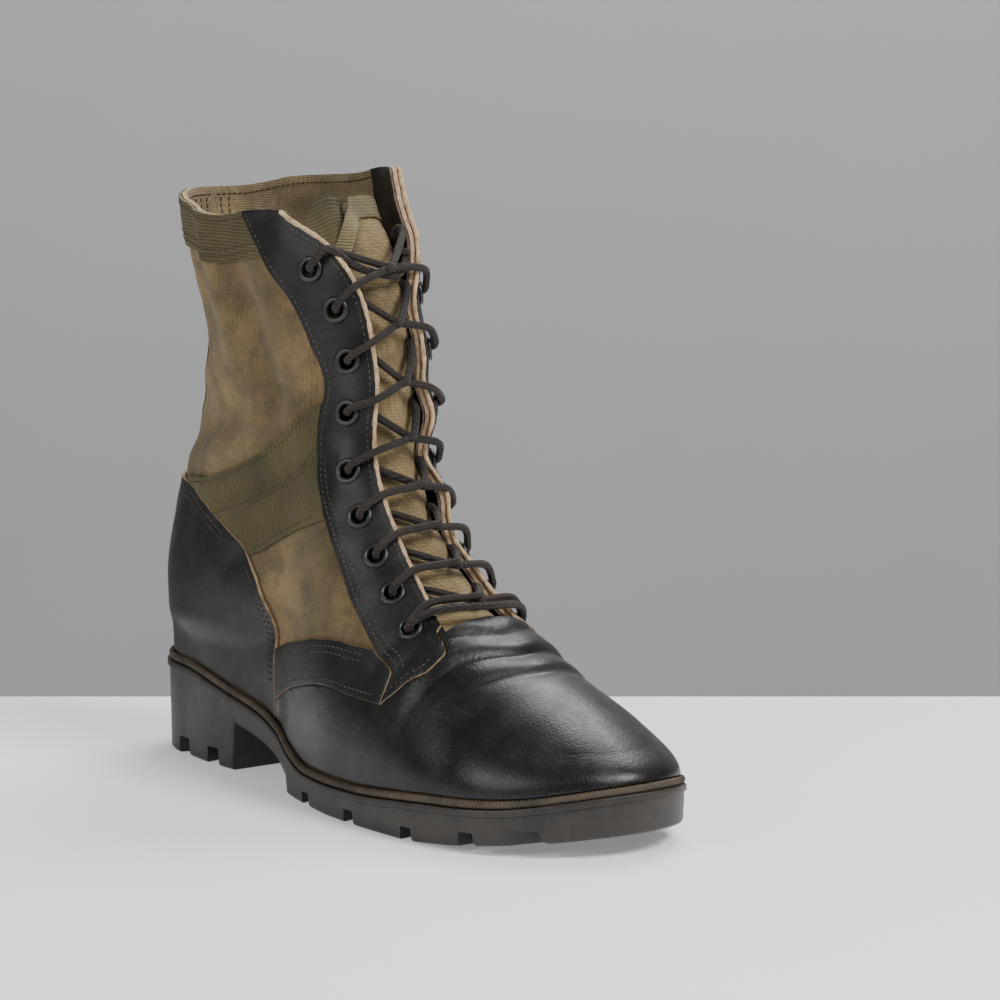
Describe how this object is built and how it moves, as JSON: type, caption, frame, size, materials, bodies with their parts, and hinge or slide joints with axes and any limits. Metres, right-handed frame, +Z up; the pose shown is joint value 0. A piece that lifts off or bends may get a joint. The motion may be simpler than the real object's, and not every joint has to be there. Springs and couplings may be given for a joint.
{
  "type": "jungle boot",
  "caption": "Right jungle boot with canvas shaft, leather vamp and counter, webbing reinforcement, laced throat and a lugged rubber sole.",
  "frame": {"origin": "centre of the heel's tread, on the floor", "axes": "+X from heel to toe, +Y to the wearer's left, which is the inner side, +Z up"},
  "size_m": [0.3056, 0.1075, 0.2554],
  "materials": {
    "rubber": "matt, dusty",
    "welt_bead": "moulded bead, matt",
    "insole_board": "worn",
    "canvas": "faded cotton canvas",
    "tongue_canvas": "faded cotton canvas",
    "leather": "worn black, soft sheen",
    "webbing": "ribbed webbing",
    "eyelet": "black enamel",
    "lace": "round braid"
  },
  "bodies": {
    "root": {"outsole": "rubber", "welt": "welt_bead", "insole": "insole_board", "upper": "canvas", "tongue": "tongue_canvas", "vamp": "leather", "counter": "leather", "side_band_lateral": "leather", "side_band_medial": "leather", "eyestay_lateral": "leather", "eyestay_medial": "leather", "ankle_webbing_lateral": "webbing", "ankle_webbing_medial": "webbing", "backstay": "webbing", "collar_band": "webbing", "eyelet_lateral_1": "eyelet", "eyelet_lateral_2": "eyelet", "eyelet_lateral_3": "eyelet", "eyelet_lateral_4": "eyelet", "eyelet_lateral_5": "eyelet", "eyelet_lateral_6": "eyelet", "eyelet_lateral_7": "eyelet", "eyelet_lateral_8": "eyelet", "eyelet_lateral_9": "eyelet", "eyelet_medial_1": "eyelet", "eyelet_medial_2": "eyelet", "eyelet_medial_3": "eyelet", "eyelet_medial_4": "eyelet", "eyelet_medial_5": "eyelet", "eyelet_medial_6": "eyelet", "eyelet_medial_7": "eyelet", "eyelet_medial_8": "eyelet", "eyelet_medial_9": "eyelet", "lace_bar": "lace", "lace_crossing_1": "lace", "lace_crossing_2": "lace", "lace_crossing_3": "lace", "lace_crossing_4": "lace", "lace_crossing_5": "lace", "lace_crossing_6": "lace", "lace_crossing_7": "lace"}
  },
  "joints": []
}
